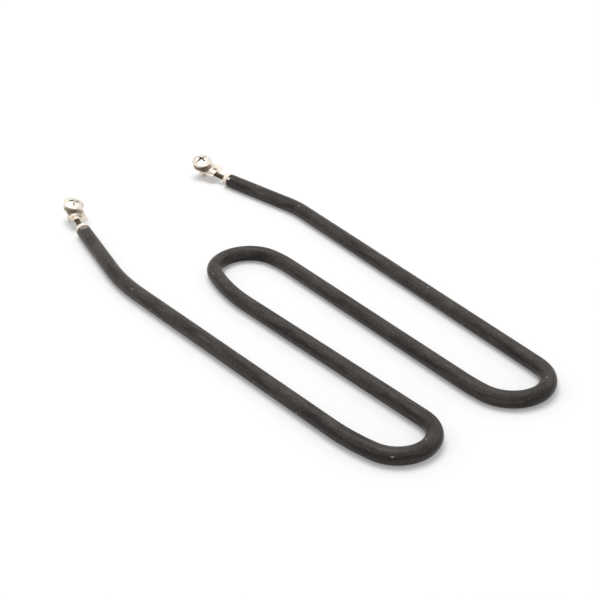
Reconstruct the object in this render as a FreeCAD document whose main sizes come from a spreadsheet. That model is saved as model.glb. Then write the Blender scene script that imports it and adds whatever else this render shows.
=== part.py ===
import FreeCAD, Part
import math
import os
import Sketcher
from FreeCAD import Placement, Rotation, Vector

# Tubular heating element in millimetres, +Z up. One round sheath, bent into a flat serpentine of four
# legs and three U-bends, lies on Z = 0. The legs run along X and both terminals point to -X.
# The origin is below the middle of the whole element, on the surface that it lies on.

# Driving dimensions. Lengths are millimetres; turns, leads, splays, tilts and rolls are degrees. The
# splay is what a U-bend turns beyond a half turn.
DIMENSIONS = [
    ("sheath_diameter", 8.0),
    ("sheath_wall", 0.7),
    ("mouth_chamfer", 0.25),
    ("tail_1_run", 49.0),
    ("tail_1_radius", 132.0),
    ("tail_1_turn", 13.7),
    ("leg_1_run", 151.5),
    ("bend_1_lead_in", 12.9),
    ("bend_1_radius", 16.4),
    ("bend_1_splay", -0.4),
    ("bend_1_lead_out", 3.2),
    ("leg_2_run", 125.5),
    ("bend_2_lead_in", 18.8),
    ("bend_2_radius", 17.7),
    ("bend_2_splay", 2.9),
    ("bend_2_lead_out", 12.7),
    ("leg_3_run", 135.0),
    ("bend_3_lead_in", 7.2),
    ("bend_3_radius", 17.7),
    ("bend_3_splay", -2.3),
    ("bend_3_lead_out", 3.7),
    ("leg_4_run", 192.0),
    ("tail_2_radius", 63.0),
    ("tail_2_turn", 13.0),
    ("tail_2_run", 48.0),
    ("lead_in_radius", 110.0),
    ("lead_out_radius", 65.0),
    ("bushing_diameter", 7.6),
    ("bushing_height", 3.1),
    ("bushing_chamfer", 0.35),
    ("spigot_length", 5.0),
    ("spigot_clearance", 0.05),
    ("pin_diameter", 2.8),
    ("pin_buried", 38.0),
    ("pin_bend_offset", 1.0),
    ("pin_bend_radius", 8.0),
    ("pin_tilt_1", 9.7),
    ("pin_tilt_2", 9.4),
    ("pin_turn_1", -4.5),
    ("pin_turn_2", -39.5),
    ("coil_wire", 0.5),
    ("coil_grip", 6.0),
    ("lug_gap", 6.8),
    ("lug_back_width", 9.9),
    ("lug_width", 10.9),
    ("lug_shift", -1.2),
    ("lug_thickness", 0.8),
    ("lug_rise", 0.2),
    ("lug_corner", 0.9),
    ("lug_roll_1", 17.2),
    ("lug_roll_2", 28.3),
    ("barrel_run", 4.0),
    ("boss_inset", 2.2),
    ("boss_run", 1.2),
    ("boss_height", 0.8),
    ("screw_offset", 12.3),
    ("collar_wall", 0.8),
    ("collar_height", 1.5),
    ("screw_diameter", 5.0),
    ("screw_length", 9.8),
    ("screw_chamfer", 0.6),
    ("screw_standoff", 2.5),
    ("screw_turn_1", -23.0),
    ("screw_turn_2", 80.0),
    ("head_diameter", 11.7),
    ("head_rim", 0.7),
    ("head_height", 2.6),
    ("slot_width", 1.4),
    ("slot_depth", 1.5),
    ("recess_span", 8.0),
    ("recess_width", 1.6),
    ("recess_floor_span", 2.2),
    ("recess_floor_width", 0.9),
    ("recess_depth", 2.2),
]
ALIASES = {alias for alias, _ in DIMENSIONS}


def u_bend(number, side):
    """List the three arcs of a U-bend: it eases in, turns, and eases out."""
    lead_in = f"bend_{number}_lead_in"
    lead_out = f"bend_{number}_lead_out"
    return [
        ("lead_in_radius", lead_in, side),
        (f"bend_{number}_radius", f"180 + bend_{number}_splay - {lead_in} - {lead_out}", side),
        ("lead_out_radius", lead_out, side),
    ]


# The serpentine as runs and arcs, from terminal 1 to terminal 2. An arc has its radius, its turn and the
# side that it turns to.
SERPENTINE = [
    ("tail_1_run",),
    ("tail_1_radius", "tail_1_turn", "left"),
    ("leg_1_run",),
    *u_bend(1, "left"),
    ("leg_2_run",),
    *u_bend(2, "right"),
    ("leg_3_run",),
    *u_bend(3, "left"),
    ("leg_4_run",),
    ("tail_2_radius", "tail_2_turn", "left"),
    ("tail_2_run",),
]
# The ends of an edge and the centre of an arc, as a sketch numbers them
START, END, CENTRE = range(1, 4)
# How far a found edge may lie from the place that it is looked for at
NEAR = 0.01

doc = FreeCAD.newDocument("heating_element")
sheet = doc.addObject("Spreadsheet::Sheet", "dims")
for row, (alias, value) in enumerate(DIMENSIONS, start=1):
    sheet.set(f"A{row}", alias)
    sheet.set(f"B{row}", str(value))
    sheet.setAlias(f"B{row}", alias)
doc.recompute()


# Sizes and expressions

def size(alias):
    return float(sheet.get(alias))


def bound(formula):
    """Turn a formula of aliases, numbers and signs, parted by spaces, into an expression on the sheet."""
    return " ".join("dims." + word if word in ALIASES else word for word in formula.split())


def total(formula):
    """Work out a formula that only adds and subtracts aliases and numbers."""
    result = 0.0
    sign = 1
    for word in formula.split():
        if word in ("+", "-"):
            sign = 1 if word == "+" else -1
        else:
            result += sign * (size(word) if word in ALIASES else float(word))
    return result


# Bodies and sketches

def new_body(label):
    body = doc.addObject("PartDesign::Body", label)
    body.Label = label
    return body


def new_sketch(body, name, plane, height_formula=None):
    """Put a sketch on one of the body's own origin planes, raised along the plane's normal."""
    sketch = body.newObject("Sketcher::SketchObject", name)
    origin_plane = next(item for item in body.Origin.OriginFeatures if item.Role == plane)
    sketch.AttachmentSupport = (origin_plane, "")
    sketch.MapMode = "FlatFace"
    if height_formula is not None:
        sketch.setExpression("AttachmentOffset.Base.z", bound(height_formula))
    return sketch


def constrain(sketch, name, formula, kind, *where):
    """Bind one measure of an edge to the sheet. It starts at the value that the drawn edge has."""
    if kind == "DistanceX":
        drawn = sketch.getPoint(*where[-2:]).x
    elif kind == "DistanceY":
        drawn = sketch.getPoint(*where[-2:]).y
    else:
        edge = sketch.Geometry[where[0]]
        if kind == "Distance":
            drawn = edge.length()
        elif kind == "Radius":
            drawn = edge.Radius
        else:
            drawn = edge.LastParameter - edge.FirstParameter
    index = sketch.addConstraint(Sketcher.Constraint(kind, *where, drawn))
    sketch.renameConstraint(index, name)
    sketch.setExpression("Constraints." + name, bound(formula))


def place_point(sketch, edge, point, name, x_formula, y_formula):
    constrain(sketch, name + "_x", x_formula, "DistanceX", -1, START, edge, point)
    constrain(sketch, name + "_y", y_formula, "DistanceY", -1, START, edge, point)


def draw_circle(sketch, name, radius_formula, x_formula="0", y_formula="0"):
    circle = sketch.addGeometry(Part.Circle(Vector(1, 1, 0), Vector(0, 0, 1), 1.0), False)
    place_point(sketch, circle, CENTRE, name, x_formula, y_formula)
    constrain(sketch, name + "_radius", radius_formula, "Radius", circle)


def draw_outline(sketch, corners, dome=None):
    """Draw a closed outline of straight edges, all but the edge numbered dome: that one is an arc about
    a centre on the Y axis. Every corner is bound to the sheet, so where the corners start is of no
    weight: they start on a circle, in their order."""
    count = len(corners)
    circle = Part.Circle(Vector(0, 0, 0), Vector(0, 0, 1), 1.0)
    angles = [2 * math.pi * n / count for n in range(count + 1)]
    spots = [Vector(math.cos(angle), math.sin(angle), 0) for angle in angles]
    edges = []
    for n in range(count):
        if n == dome:
            edge = Part.ArcOfCircle(circle, angles[n], angles[n + 1])
        else:
            edge = Part.LineSegment(spots[n], spots[n + 1])
        edges.append(sketch.addGeometry(edge, False))
    if dome is not None:
        constrain(sketch, "dome_centre", "0", "DistanceX", -1, START, edges[dome], CENTRE)
    for n, (x_formula, y_formula) in enumerate(corners):
        place_point(sketch, edges[n], START, f"corner_{n}", x_formula, y_formula)
        sketch.addConstraint(Sketcher.Constraint("Coincident", edges[n - 1], END, edges[n], START))


def draw_rectangle(sketch, length_formula, width_formula):
    """Draw a rectangle about the sketch's origin."""
    far_x = length_formula + " / 2"
    far_y = width_formula + " / 2"
    draw_outline(sketch, [("-1 * " + far_x, "-1 * " + far_y), (far_x, "-1 * " + far_y),
                          (far_x, far_y), ("-1 * " + far_x, far_y)])


def draw_bullet(sketch, radius_formula, back_formula, run_formula):
    """Draw half of a round-nosed barrel above the X axis, from its flat back outward."""
    nose_x = back_formula + " + " + run_formula
    back = sketch.addGeometry(Part.LineSegment(Vector(0, 0, 0), Vector(0, 1, 0)), False)
    side = sketch.addGeometry(Part.LineSegment(Vector(0, 1, 0), Vector(1, 1, 0)), False)
    quarter = Part.ArcOfCircle(Part.Circle(Vector(1, 0, 0), Vector(0, 0, 1), 1.0), 0, math.pi / 2)
    nose = sketch.addGeometry(quarter, False)
    base = sketch.addGeometry(Part.LineSegment(Vector(2, 0, 0), Vector(0, 0, 0)), False)
    place_point(sketch, back, START, "back_low", back_formula, "0")
    place_point(sketch, back, END, "back_high", back_formula, radius_formula)
    place_point(sketch, side, END, "side_end", nose_x, radius_formula)
    place_point(sketch, nose, CENTRE, "nose_centre", nose_x, "0")
    constrain(sketch, "tip_y", "0", "DistanceY", -1, START, base, START)
    for first, first_end, second, second_end in ((back, END, side, START), (side, END, nose, END),
                                                 (nose, START, base, START), (base, END, back, START)):
        sketch.addConstraint(Sketcher.Constraint("Coincident", first, first_end, second, second_end))


# The path of the sheath

def walk(trim):
    """Walk the serpentine from the trimmed start of tail 1. Give each step's start, heading and length
    or radius, then the place and heading at the end."""
    spot = Vector(trim, 0, 0)
    heading = 0.0
    steps = []
    for number, step in enumerate(SERPENTINE):
        measure = size(step[0])
        if number in (0, len(SERPENTINE) - 1):
            measure -= trim
        steps.append((spot, heading, measure))
        ahead = Vector(math.cos(heading), math.sin(heading), 0)
        if len(step) == 1:
            spot = spot + ahead * measure
        else:
            side = 1 if step[2] == "left" else -1
            centre = spot + Vector(-ahead.y, ahead.x, 0) * side * measure
            heading += side * math.radians(total(step[1]))
            spot = centre - Vector(-math.sin(heading), math.cos(heading), 0) * side * measure
    return steps, spot, heading


def draw_serpentine(sketch, trim_formula, trim):
    """Draw the serpentine as tangent lines and arcs, with trim taken off both of its ends."""
    steps, _, _ = walk(trim)
    last = len(SERPENTINE) - 1
    previous = None
    for number, (step, (spot, heading, measure)) in enumerate(zip(SERPENTINE, steps)):
        formula = step[0] + " - ( " + trim_formula + " )" if number in (0, last) else step[0]
        if len(step) == 1:
            end = spot + Vector(math.cos(heading), math.sin(heading), 0) * measure
            edge = sketch.addGeometry(Part.LineSegment(spot, end), False)
            enter, leave = START, END
            constrain(sketch, f"run_{number}", formula, "Distance", edge)
        else:
            turn = math.radians(total(step[1]))
            to_left = Vector(-math.sin(heading), math.cos(heading), 0)
            if step[2] == "left":
                centre = spot + to_left * measure
                angles = (heading - math.pi / 2, heading - math.pi / 2 + turn)
                enter, leave = START, END
            else:
                centre = spot - to_left * measure
                angles = (heading + math.pi / 2 - turn, heading + math.pi / 2)
                enter, leave = END, START
            circle = Part.Circle(centre, Vector(0, 0, 1), measure)
            edge = sketch.addGeometry(Part.ArcOfCircle(circle, *angles), False)
            constrain(sketch, f"radius_{number}", formula, "Radius", edge)
            constrain(sketch, f"turn_{number}", step[1], "Angle", edge)
        if previous is None:
            place_point(sketch, edge, START, "start", trim_formula, "0")
            sketch.addConstraint(Sketcher.Constraint("Horizontal", edge))
        else:
            sketch.addConstraint(Sketcher.Constraint("Tangent", *previous, edge, enter))
        previous = (edge, leave)


def sweep(body, path, section):
    pipe = body.newObject("PartDesign::AdditivePipe", body.Label + "_sweep")
    pipe.Profile = section
    pipe.Spine = (path, [f"Edge{n + 1}" for n in range(len(path.Geometry))])
    section.Visibility = False
    path.Visibility = False
    return pipe


def build_serpentine(label, trim_formula, trim, outer_formula, inner_formula=None):
    """Sweep a disc or a ring along the serpentine."""
    body = new_body(label)
    path = new_sketch(body, label + "_path", "XY_Plane")
    draw_serpentine(path, trim_formula, trim)
    section = new_sketch(body, label + "_section", "YZ_Plane", trim_formula)
    draw_circle(section, "outer", outer_formula)
    if inner_formula is not None:
        draw_circle(section, "inner", inner_formula)
    doc.recompute()
    sweep(body, path, section)
    doc.recompute()
    return body


# The sheath and what it holds

def build_sheath():
    """The drawn tube, with the outer edge of both cut ends broken."""
    body = build_serpentine("sheath", "0", 0.0, "sheath_diameter / 2", "sheath_diameter / 2 - sheath_wall")
    tube = body.Tip
    _, end, _ = walk(0.0)
    rims = []
    for number, edge in enumerate(tube.Shape.Edges, start=1):
        box = edge.BoundBox
        at_mouth = min(box.Center.distanceToPoint(mouth) for mouth in (Vector(0, 0, 0), end)) < NEAR
        if at_mouth and abs(box.ZLength - size("sheath_diameter")) < NEAR:
            rims.append(f"Edge{number}")
    chamfer = body.newObject("PartDesign::Chamfer", "mouth_edges")
    chamfer.Base = (tube, rims)
    chamfer.setExpression("Size", bound("mouth_chamfer"))
    body.Tip = chamfer
    return body


def build_coil():
    """The wound resistance wire as the plain tube of its envelope. Its end turns grip both pins."""
    trim = size("pin_buried") - size("coil_grip")
    return build_serpentine("resistance_coil", "pin_buried - coil_grip", trim,
                            "pin_diameter / 2 + coil_wire", "pin_diameter / 2")


def build_fill(conductors, place):
    """The compacted magnesia: the whole bore between both spigots, less the coil and the pins."""
    core = build_serpentine("magnesia_core", "spigot_length", size("spigot_length"),
                            "sheath_diameter / 2 - sheath_wall")
    core.Placement = place
    inside = doc.addObject("Part::MultiFuse", "conductors")
    inside.Shapes = conductors
    fill = doc.addObject("Part::Cut", "magnesia_fill")
    fill.Base = core
    fill.Tool = inside
    fill.Label = "magnesia_fill"
    doc.recompute()
    return fill


# The terminals, each in its own frame: X outward along the tube's axis from the cut end, Z up

def build_bushing(number):
    """The ceramic bushing: a collar on the cut end and a spigot in the bore, round the pin."""
    body = new_body(f"insulating_bushing_{number}")
    profile = new_sketch(body, body.Label + "_profile", "XZ_Plane")
    bore = "pin_diameter / 2"
    collar = "bushing_diameter / 2"
    spigot = "sheath_diameter / 2 - sheath_wall - spigot_clearance"
    draw_outline(profile, [
        ("-1 * spigot_length", bore),
        ("bushing_height", bore),
        ("bushing_height", collar + " - bushing_chamfer"),
        ("bushing_height - bushing_chamfer", collar),
        ("0", collar),
        ("0", spigot),
        ("-1 * spigot_length", spigot),
    ])
    revolve(body, profile, "H_Axis")
    return body


def revolve(body, profile, axis, kind="PartDesign::Revolution", turn=360.0, both_ways=False):
    feature = body.newObject(kind, profile.Label + "_turned")
    feature.Profile = profile
    feature.ReferenceAxis = (profile, [axis])
    feature.Angle = turn
    feature.Midplane = both_ways
    profile.Visibility = False
    doc.recompute()
    return feature


def pad(body, sketch, length_formula, down=False):
    feature = body.newObject("PartDesign::Pad", sketch.Label + "_pad")
    feature.Profile = sketch
    feature.setExpression("Length", bound(length_formula))
    feature.Reversed = down
    sketch.Visibility = False
    doc.recompute()
    return feature


def pocket(body, sketch, depth_formula=None):
    """Cut downward from the sketch, by a depth or right through."""
    before = body.Shape.Volume
    feature = body.newObject("PartDesign::Pocket", sketch.Label + "_cut")
    feature.Profile = sketch
    if depth_formula is None:
        feature.Type = "ThroughAll"
    else:
        feature.setExpression("Length", bound(depth_formula))
    sketch.Visibility = False
    doc.recompute()
    if not body.Shape.Volume < before:
        raise RuntimeError(feature.Label + " cuts nothing")
    return feature


def build_pin(number):
    """The cold pin: straight through the bushing, then bent a little to the lug."""
    body = new_body(f"cold_pin_{number}")
    path = new_sketch(body, body.Label + "_path", "XZ_Plane")
    radius = size("pin_bend_radius")
    tilt_formula = f"pin_tilt_{number}"
    tilt = math.radians(size(tilt_formula))
    start = Vector(-size("pin_buried"), 0, 0)
    knee = Vector(size("bushing_height") + size("pin_bend_offset"), 0, 0)
    centre = knee + Vector(0, radius, 0)
    after = centre + Vector(math.sin(tilt), -math.cos(tilt), 0) * radius
    reach = "lug_gap + barrel_run"
    run = total(reach) - radius * math.tan(tilt / 2)
    end = after + Vector(math.cos(tilt), math.sin(tilt), 0) * run
    inner = path.addGeometry(Part.LineSegment(start, knee), False)
    arc = Part.ArcOfCircle(Part.Circle(centre, Vector(0, 0, 1), radius), -math.pi / 2, tilt - math.pi / 2)
    bend = path.addGeometry(arc, False)
    outer = path.addGeometry(Part.LineSegment(after, end), False)
    place_point(path, inner, START, "start", "-1 * pin_buried", "0")
    place_point(path, inner, END, "knee", "bushing_height + pin_bend_offset", "0")
    constrain(path, "bend_radius", "pin_bend_radius", "Radius", bend)
    constrain(path, "bend_turn", tilt_formula, "Angle", bend)
    constrain(path, "outer_run", reach + f" - pin_bend_radius * tan( {tilt_formula} / 2 )", "Distance", outer)
    path.addConstraint(Sketcher.Constraint("Tangent", inner, END, bend, START))
    path.addConstraint(Sketcher.Constraint("Tangent", bend, END, outer, START))
    section = new_sketch(body, body.Label + "_section", "YZ_Plane", "-1 * pin_buried")
    draw_circle(section, "pin", "pin_diameter / 2")
    doc.recompute()
    sweep(body, path, section)
    return body


def build_lug(number):
    """The stamped lug: a flat plate with a round tip, a pressed barrel with a boss over the pin, and a
    tapped collar. Its X axis is the axis of the bent pin, and X = 0 is where the pin bends. The plate
    lies off that axis to one side."""
    body = new_body(f"terminal_lug_{number}")
    name = body.Label
    screw_x = "lug_gap + screw_offset"
    plate = new_sketch(body, name + "_plate", "XY_Plane", "lug_rise")
    draw_outline(plate, [
        ("lug_gap", "lug_shift - lug_back_width / 2"),
        (screw_x, "lug_shift - lug_width / 2"),
        (screw_x, "lug_shift + lug_width / 2"),
        ("lug_gap", "lug_shift + lug_back_width / 2"),
    ])
    flat = pad(body, plate, "lug_thickness")
    rounding = body.newObject("PartDesign::Fillet", name + "_corners")
    rounding.Base = (flat, upright_edges(flat, size("lug_gap")))
    rounding.setExpression("Radius", bound("lug_corner"))
    doc.recompute()
    tip = new_sketch(body, name + "_tip", "XY_Plane", "lug_rise")
    draw_circle(tip, "tip", "lug_width / 2", screw_x, "lug_shift")
    pad(body, tip, "lug_thickness")
    collar = new_sketch(body, name + "_collar", "XY_Plane", "lug_rise")
    draw_circle(collar, "collar", "screw_diameter / 2 + collar_wall", screw_x, "lug_shift")
    pad(body, collar, "collar_height", down=True)
    sleeve_radius = "pin_diameter / 2 + lug_thickness"
    sleeve = new_sketch(body, name + "_sleeve", "XZ_Plane")
    draw_bullet(sleeve, sleeve_radius, "lug_gap", "barrel_run")
    revolve(body, sleeve, "H_Axis", turn=180.0, both_ways=True)
    boss = new_sketch(body, name + "_boss", "XZ_Plane")
    draw_bullet(boss, sleeve_radius + " + boss_height", "lug_gap + boss_inset", "boss_run")
    revolve(body, boss, "H_Axis", turn=180.0, both_ways=True)
    channel = new_sketch(body, name + "_channel", "XZ_Plane")
    draw_bullet(channel, "pin_diameter / 2", "lug_gap", "barrel_run")
    revolve(body, channel, "H_Axis", kind="PartDesign::Groove")
    hole = new_sketch(body, name + "_hole", "XY_Plane", "lug_rise + lug_thickness")
    draw_circle(hole, "hole", "screw_diameter / 2", screw_x, "lug_shift")
    pocket(body, hole)
    return body


def upright_edges(feature, at_x):
    """Name the edges of a feature that stand upright at one distance along X."""
    names = []
    for number, edge in enumerate(feature.Shape.Edges, start=1):
        box = edge.BoundBox
        if box.XLength < NEAR and box.YLength < NEAR and abs(box.Center.x - at_x) < NEAR:
            names.append(f"Edge{number}")
    return names


def build_screw(number):
    """The binding screw, partly backed out: a truss head with a slot and a cross recess. Z = 0 is the
    underside of its head."""
    body = new_body(f"terminal_screw_{number}")
    name = body.Label
    profile = new_sketch(body, name + "_profile", "XZ_Plane")
    shank = "screw_diameter / 2"
    head = "head_diameter / 2"
    corners = [("0", "-1 * screw_length"), (shank + " - screw_chamfer", "-1 * screw_length"),
               (shank, "screw_chamfer - screw_length"), (shank, "0"), (head, "0"), (head, "head_rim"),
               ("0", "head_height")]
    draw_outline(profile, corners, dome=len(corners) - 2)
    revolve(body, profile, "V_Axis")
    slot = new_sketch(body, name + "_slot", "XY_Plane", "head_height")
    draw_rectangle(slot, "head_diameter", "slot_width")
    pocket(body, slot, "slot_depth")
    mouth = new_sketch(body, name + "_recess_mouth", "XY_Plane", "head_height")
    draw_rectangle(mouth, "recess_span", "recess_width")
    floor = new_sketch(body, name + "_recess_floor", "XY_Plane", "head_height - recess_depth")
    draw_rectangle(floor, "recess_floor_span", "recess_floor_width")
    doc.recompute()
    wing = body.newObject("PartDesign::SubtractiveLoft", name + "_recess")
    wing.Profile = mouth
    wing.Sections = [floor]
    doc.recompute()
    cross = body.newObject("PartDesign::PolarPattern", name + "_cross")
    cross.Originals = [wing]
    cross.Axis = (mouth, ["N_Axis"])
    cross.Angle = 90.0
    cross.Occurrences = 2
    body.Tip = cross
    doc.recompute()
    return body


# Placing

def terminal_frames():
    """Give the frame of each cut end: X outward along the tube's axis."""
    _, end, heading = walk(0.0)
    return {
        1: Placement(Vector(0, 0, 0), Rotation(Vector(0, 0, 1), 180)),
        2: Placement(end, Rotation(Vector(0, 0, 1), math.degrees(heading))),
    }


def mean_leg_heading():
    """Give the mean direction of the four legs in degrees, with each leg turned to run outward."""
    steps, _, _ = walk(0.0)
    headings = [math.degrees(heading) for step, (_, heading, _) in zip(SERPENTINE, steps)
                if step[0].startswith("leg_")]
    outward = [heading if n % 2 == 0 else heading - 180 for n, heading in enumerate(headings)]
    return sum(outward) / len(outward)


def pin_frame(number):
    """Give the frame of a pin within its terminal: turned about the tube's axis, towards its bend."""
    return Placement(Vector(0, 0, 0), Rotation(Vector(1, 0, 0), size(f"pin_turn_{number}")))


def lug_frame(number):
    """Give the frame of a lug within its pin's: at the bend, tilted with the pin and rolled about it."""
    tilt = size(f"pin_tilt_{number}")
    tangent = size("pin_bend_radius") * math.tan(math.radians(tilt) / 2)
    knee = Vector(total("bushing_height + pin_bend_offset") + tangent, 0, 0)
    tilted = Rotation(Vector(0, 1, 0), -tilt)
    rolled = Rotation(Vector(1, 0, 0), size(f"lug_roll_{number}"))
    return Placement(knee, tilted.multiply(rolled))


def screw_frame(number):
    """Give the frame of a screw within its lug, with the head held off the plate."""
    height = total("lug_rise + lug_thickness + screw_standoff")
    spot = Vector(total("lug_gap + screw_offset"), size("lug_shift"), height)
    return Placement(spot, Rotation(Vector(0, 0, 1), size(f"screw_turn_{number}")))


def place_all(frame):
    for body in (sheath, coil):
        body.Placement = frame
    for number, end in terminal_frames().items():
        at_end = frame.multiply(end)
        at_pin = at_end.multiply(pin_frame(number))
        at_lug = at_pin.multiply(lug_frame(number))
        bushings[number].Placement = at_end
        pins[number].Placement = at_pin
        lugs[number].Placement = at_lug
        screws[number].Placement = at_lug.multiply(screw_frame(number))
    doc.recompute()


sheath = build_sheath()
coil = build_coil()
bushings = {number: build_bushing(number) for number in (1, 2)}
pins = {number: build_pin(number) for number in (1, 2)}
lugs = {number: build_lug(number) for number in (1, 2)}
screws = {number: build_screw(number) for number in (1, 2)}

# The element lies flat with its legs along X, then moves so that its middle is over the origin.
lie = Rotation(Vector(0, 0, 1), -mean_leg_heading())
axis_height = size("sheath_diameter") / 2
place_all(Placement(Vector(0, 0, axis_height), lie))
outside = Part.Compound([body.Shape for body in (sheath, *lugs.values(), *screws.values())])
middle = outside.optimalBoundingBox().Center
frame = Placement(Vector(-middle.x, -middle.y, axis_height), lie)
place_all(frame)
fill = build_fill([coil, *pins.values()], frame)

nodes = [sheath, fill, coil, *bushings.values(), *pins.values(), *lugs.values(), *screws.values()]


# Checks and export

for item in doc.Objects:
    if "Invalid" in item.State or "Error" in item.State:
        raise RuntimeError(f"{item.Label} failed: {item.State}")
for node in nodes:
    if node.Shape.isNull() or not node.Shape.isValid():
        raise RuntimeError(node.Label + " has no valid shape")

os.makedirs("parts", exist_ok=True)
for node in nodes:
    node.Shape.exportStep(f"parts/{node.Label}.step")
    print(f"{node.Label}: {len(node.Shape.Solids)} solid, {node.Shape.Volume:.1f} mm3")
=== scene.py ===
import math

import bmesh
import bpy
from mathutils import Matrix, Vector


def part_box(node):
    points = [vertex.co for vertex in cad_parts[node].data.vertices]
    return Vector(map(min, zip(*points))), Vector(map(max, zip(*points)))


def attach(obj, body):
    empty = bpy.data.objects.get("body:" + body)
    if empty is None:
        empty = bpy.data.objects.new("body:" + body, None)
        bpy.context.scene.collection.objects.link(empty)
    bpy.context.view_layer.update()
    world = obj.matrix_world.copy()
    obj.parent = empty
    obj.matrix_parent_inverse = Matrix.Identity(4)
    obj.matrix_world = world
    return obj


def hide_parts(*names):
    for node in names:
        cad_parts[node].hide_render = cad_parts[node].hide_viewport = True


# Tubular heating element, in metres, in the frame of its solids: legs along X, terminals at -X, Z up.
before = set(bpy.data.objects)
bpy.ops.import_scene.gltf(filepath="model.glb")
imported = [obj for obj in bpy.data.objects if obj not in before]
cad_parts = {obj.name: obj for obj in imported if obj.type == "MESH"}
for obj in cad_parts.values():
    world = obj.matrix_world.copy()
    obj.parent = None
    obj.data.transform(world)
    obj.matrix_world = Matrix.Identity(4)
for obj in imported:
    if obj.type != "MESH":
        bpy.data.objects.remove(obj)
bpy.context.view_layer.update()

MM = 0.001

# Sizes of the tube
SHEATH_RADIUS = 4.0 * MM
SHEATH_WALL = 0.7 * MM
MOUTH_CHAMFER = 0.25 * MM

# Runs and bends of its axis from terminal 1, in millimetres and degrees. A tail's bend is its radius and
# angle. A U-bend is its side, the angle of its lead-in, its radius, its splay and the angle of its lead-out.
TAIL_1_RUN = 49.0
TAIL_1_BEND = (132.0, 13.7)
LEG_RUNS = (151.5, 125.5, 135.0, 192.0)
LEFT = 1
RIGHT = -1
U_BENDS = (
    (LEFT, 12.9, 16.4, -0.4, 3.2),
    (RIGHT, 18.8, 17.7, 2.9, 12.7),
    (LEFT, 7.2, 17.7, -2.3, 3.7),
)
LEAD_IN_RADIUS = 110.0
LEAD_OUT_RADIUS = 65.0
TAIL_2_BEND = (63.0, 13.0)
TAIL_2_RUN = 48.0

# Sizes of one terminal
BUSHING_RADIUS = 3.8 * MM
BUSHING_HEIGHT = 3.1 * MM
BUSHING_EDGE = 0.35 * MM
SPIGOT_LENGTH = 5.0 * MM
SPIGOT_CLEARANCE = 0.05 * MM
PIN_RADIUS = 1.4 * MM
PIN_EDGE = 0.2 * MM
PIN_BURIED = 38.0 * MM
PIN_BEND_OFFSET = 1.0 * MM
PIN_BEND_RADIUS = 8.0 * MM
COIL_WIRE = 0.5 * MM
COIL_GRIP = 6.0 * MM
COIL_PITCH = 1.1 * MM
COIL_STEPS = 12
WIRE_SIDES = 6
LUG_GAP = 6.8 * MM
LUG_BACK_WIDTH = 9.9 * MM
LUG_WIDTH = 10.9 * MM
LUG_SHIFT = -1.2 * MM
LUG_THICKNESS = 0.8 * MM
LUG_RISE = 0.2 * MM
LUG_CORNER = 0.9 * MM
BARREL_RUN = 4.0 * MM
BOSS_INSET = 2.2 * MM
BOSS_RUN = 1.2 * MM
BOSS_HEIGHT = 0.8 * MM
BOSS_SPREAD = 1.25
NECK_SPREAD = 1.35
CRIMP_DEPTH = 0.7 * MM
CRIMP_HEIGHT = 0.45 * MM
CRIMP_LAP = 0.3 * MM
SCREW_OFFSET = 12.3 * MM
COLLAR_WALL = 0.8 * MM
COLLAR_HEIGHT = 1.5 * MM
SCREW_RADIUS = 2.5 * MM
SCREW_LENGTH = 9.8 * MM
SCREW_CHAMFER = 0.6 * MM
SCREW_STANDOFF = 2.5 * MM
THREAD_PITCH = 0.8 * MM
THREAD_DEPTH = 0.45 * MM
THREAD_LAND = 0.12
HEAD_RADIUS = 5.85 * MM
HEAD_RIM = 0.7 * MM
HEAD_EDGE = 0.22 * MM
HEAD_HEIGHT = 2.6 * MM
SLOT_WIDTH = 1.4 * MM
SLOT_DEPTH = 1.5 * MM
RECESS_SPAN = 8.0 * MM
RECESS_WIDTH = 1.6 * MM
RECESS_FLOOR_SPAN = 2.2 * MM
RECESS_FLOOR_WIDTH = 0.9 * MM
RECESS_DEPTH = 2.2 * MM

# How each terminal is bent and turned, in degrees
PIN_TILTS = {1: 9.7, 2: 9.4}
PIN_TURNS = {1: -4.5, 2: -39.5}
LUG_ROLLS = {1: 17.2, 2: 28.3}
SCREW_TURNS = {1: -23.0, 2: 80.0}

# Colours
DARK_OXIDE = (0.0145, 0.0118, 0.0106, 1)
WARM_OXIDE = (0.026, 0.0215, 0.019, 1)
OXIDE_GRAIN = (0.07, 0.059, 0.053, 1)
RUBBED_OXIDE = (0.115, 0.099, 0.09, 1)
SHEATH_SOOT = (0.006, 0.005, 0.0046, 1)
SHEATH_NICK = (0.42, 0.36, 0.32, 1)
MOUTH_SMEAR = (0.30, 0.25, 0.23, 1)
MOUTH_CHIP = (0.78, 0.71, 0.60, 1)
OXIDE_SHEEN = (1.0, 0.88, 0.8, 1)
CREAM_CERAMIC = (0.86, 0.78, 0.67, 1)
STAINED_CERAMIC = (0.72, 0.62, 0.5, 1)
CERAMIC_SPECK = (0.36, 0.29, 0.22, 1)
DARK_PIN = (0.05, 0.03, 0.022, 1)
BROWN_PIN = (0.11, 0.075, 0.055, 1)
DRAWN_PIN = (0.17, 0.125, 0.095, 1)
LUG_NICKEL = (0.80, 0.73, 0.63, 1)
DULL_LUG_NICKEL = (0.50, 0.41, 0.32, 1)
SCREW_NICKEL = (0.88, 0.82, 0.74, 1)
DULL_SCREW_NICKEL = (0.58, 0.49, 0.40, 1)
# Painted shade, with some grime: darkens the screw's recess, its slot and its shank under the head
SCREW_SHADE_AND_GRIME = (0.035, 0.022, 0.016, 1)
DULL_MAGNESIA = (0.78, 0.77, 0.73, 1)
CLEAN_MAGNESIA = (0.88, 0.87, 0.84, 1)
DARK_WIRE = (0.32, 0.30, 0.28, 1)
BRIGHT_WIRE = (0.45, 0.43, 0.40, 1)

# The photograph's viewpoint, turned in degrees
CAMERA_PLACE = (0.47258, -0.33563, 0.32813)
CAMERA_TURN = (60.217, 0.571, 53.352)
CAMERA_LENS = 78
CAMERA_SENSOR = 36

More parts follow.
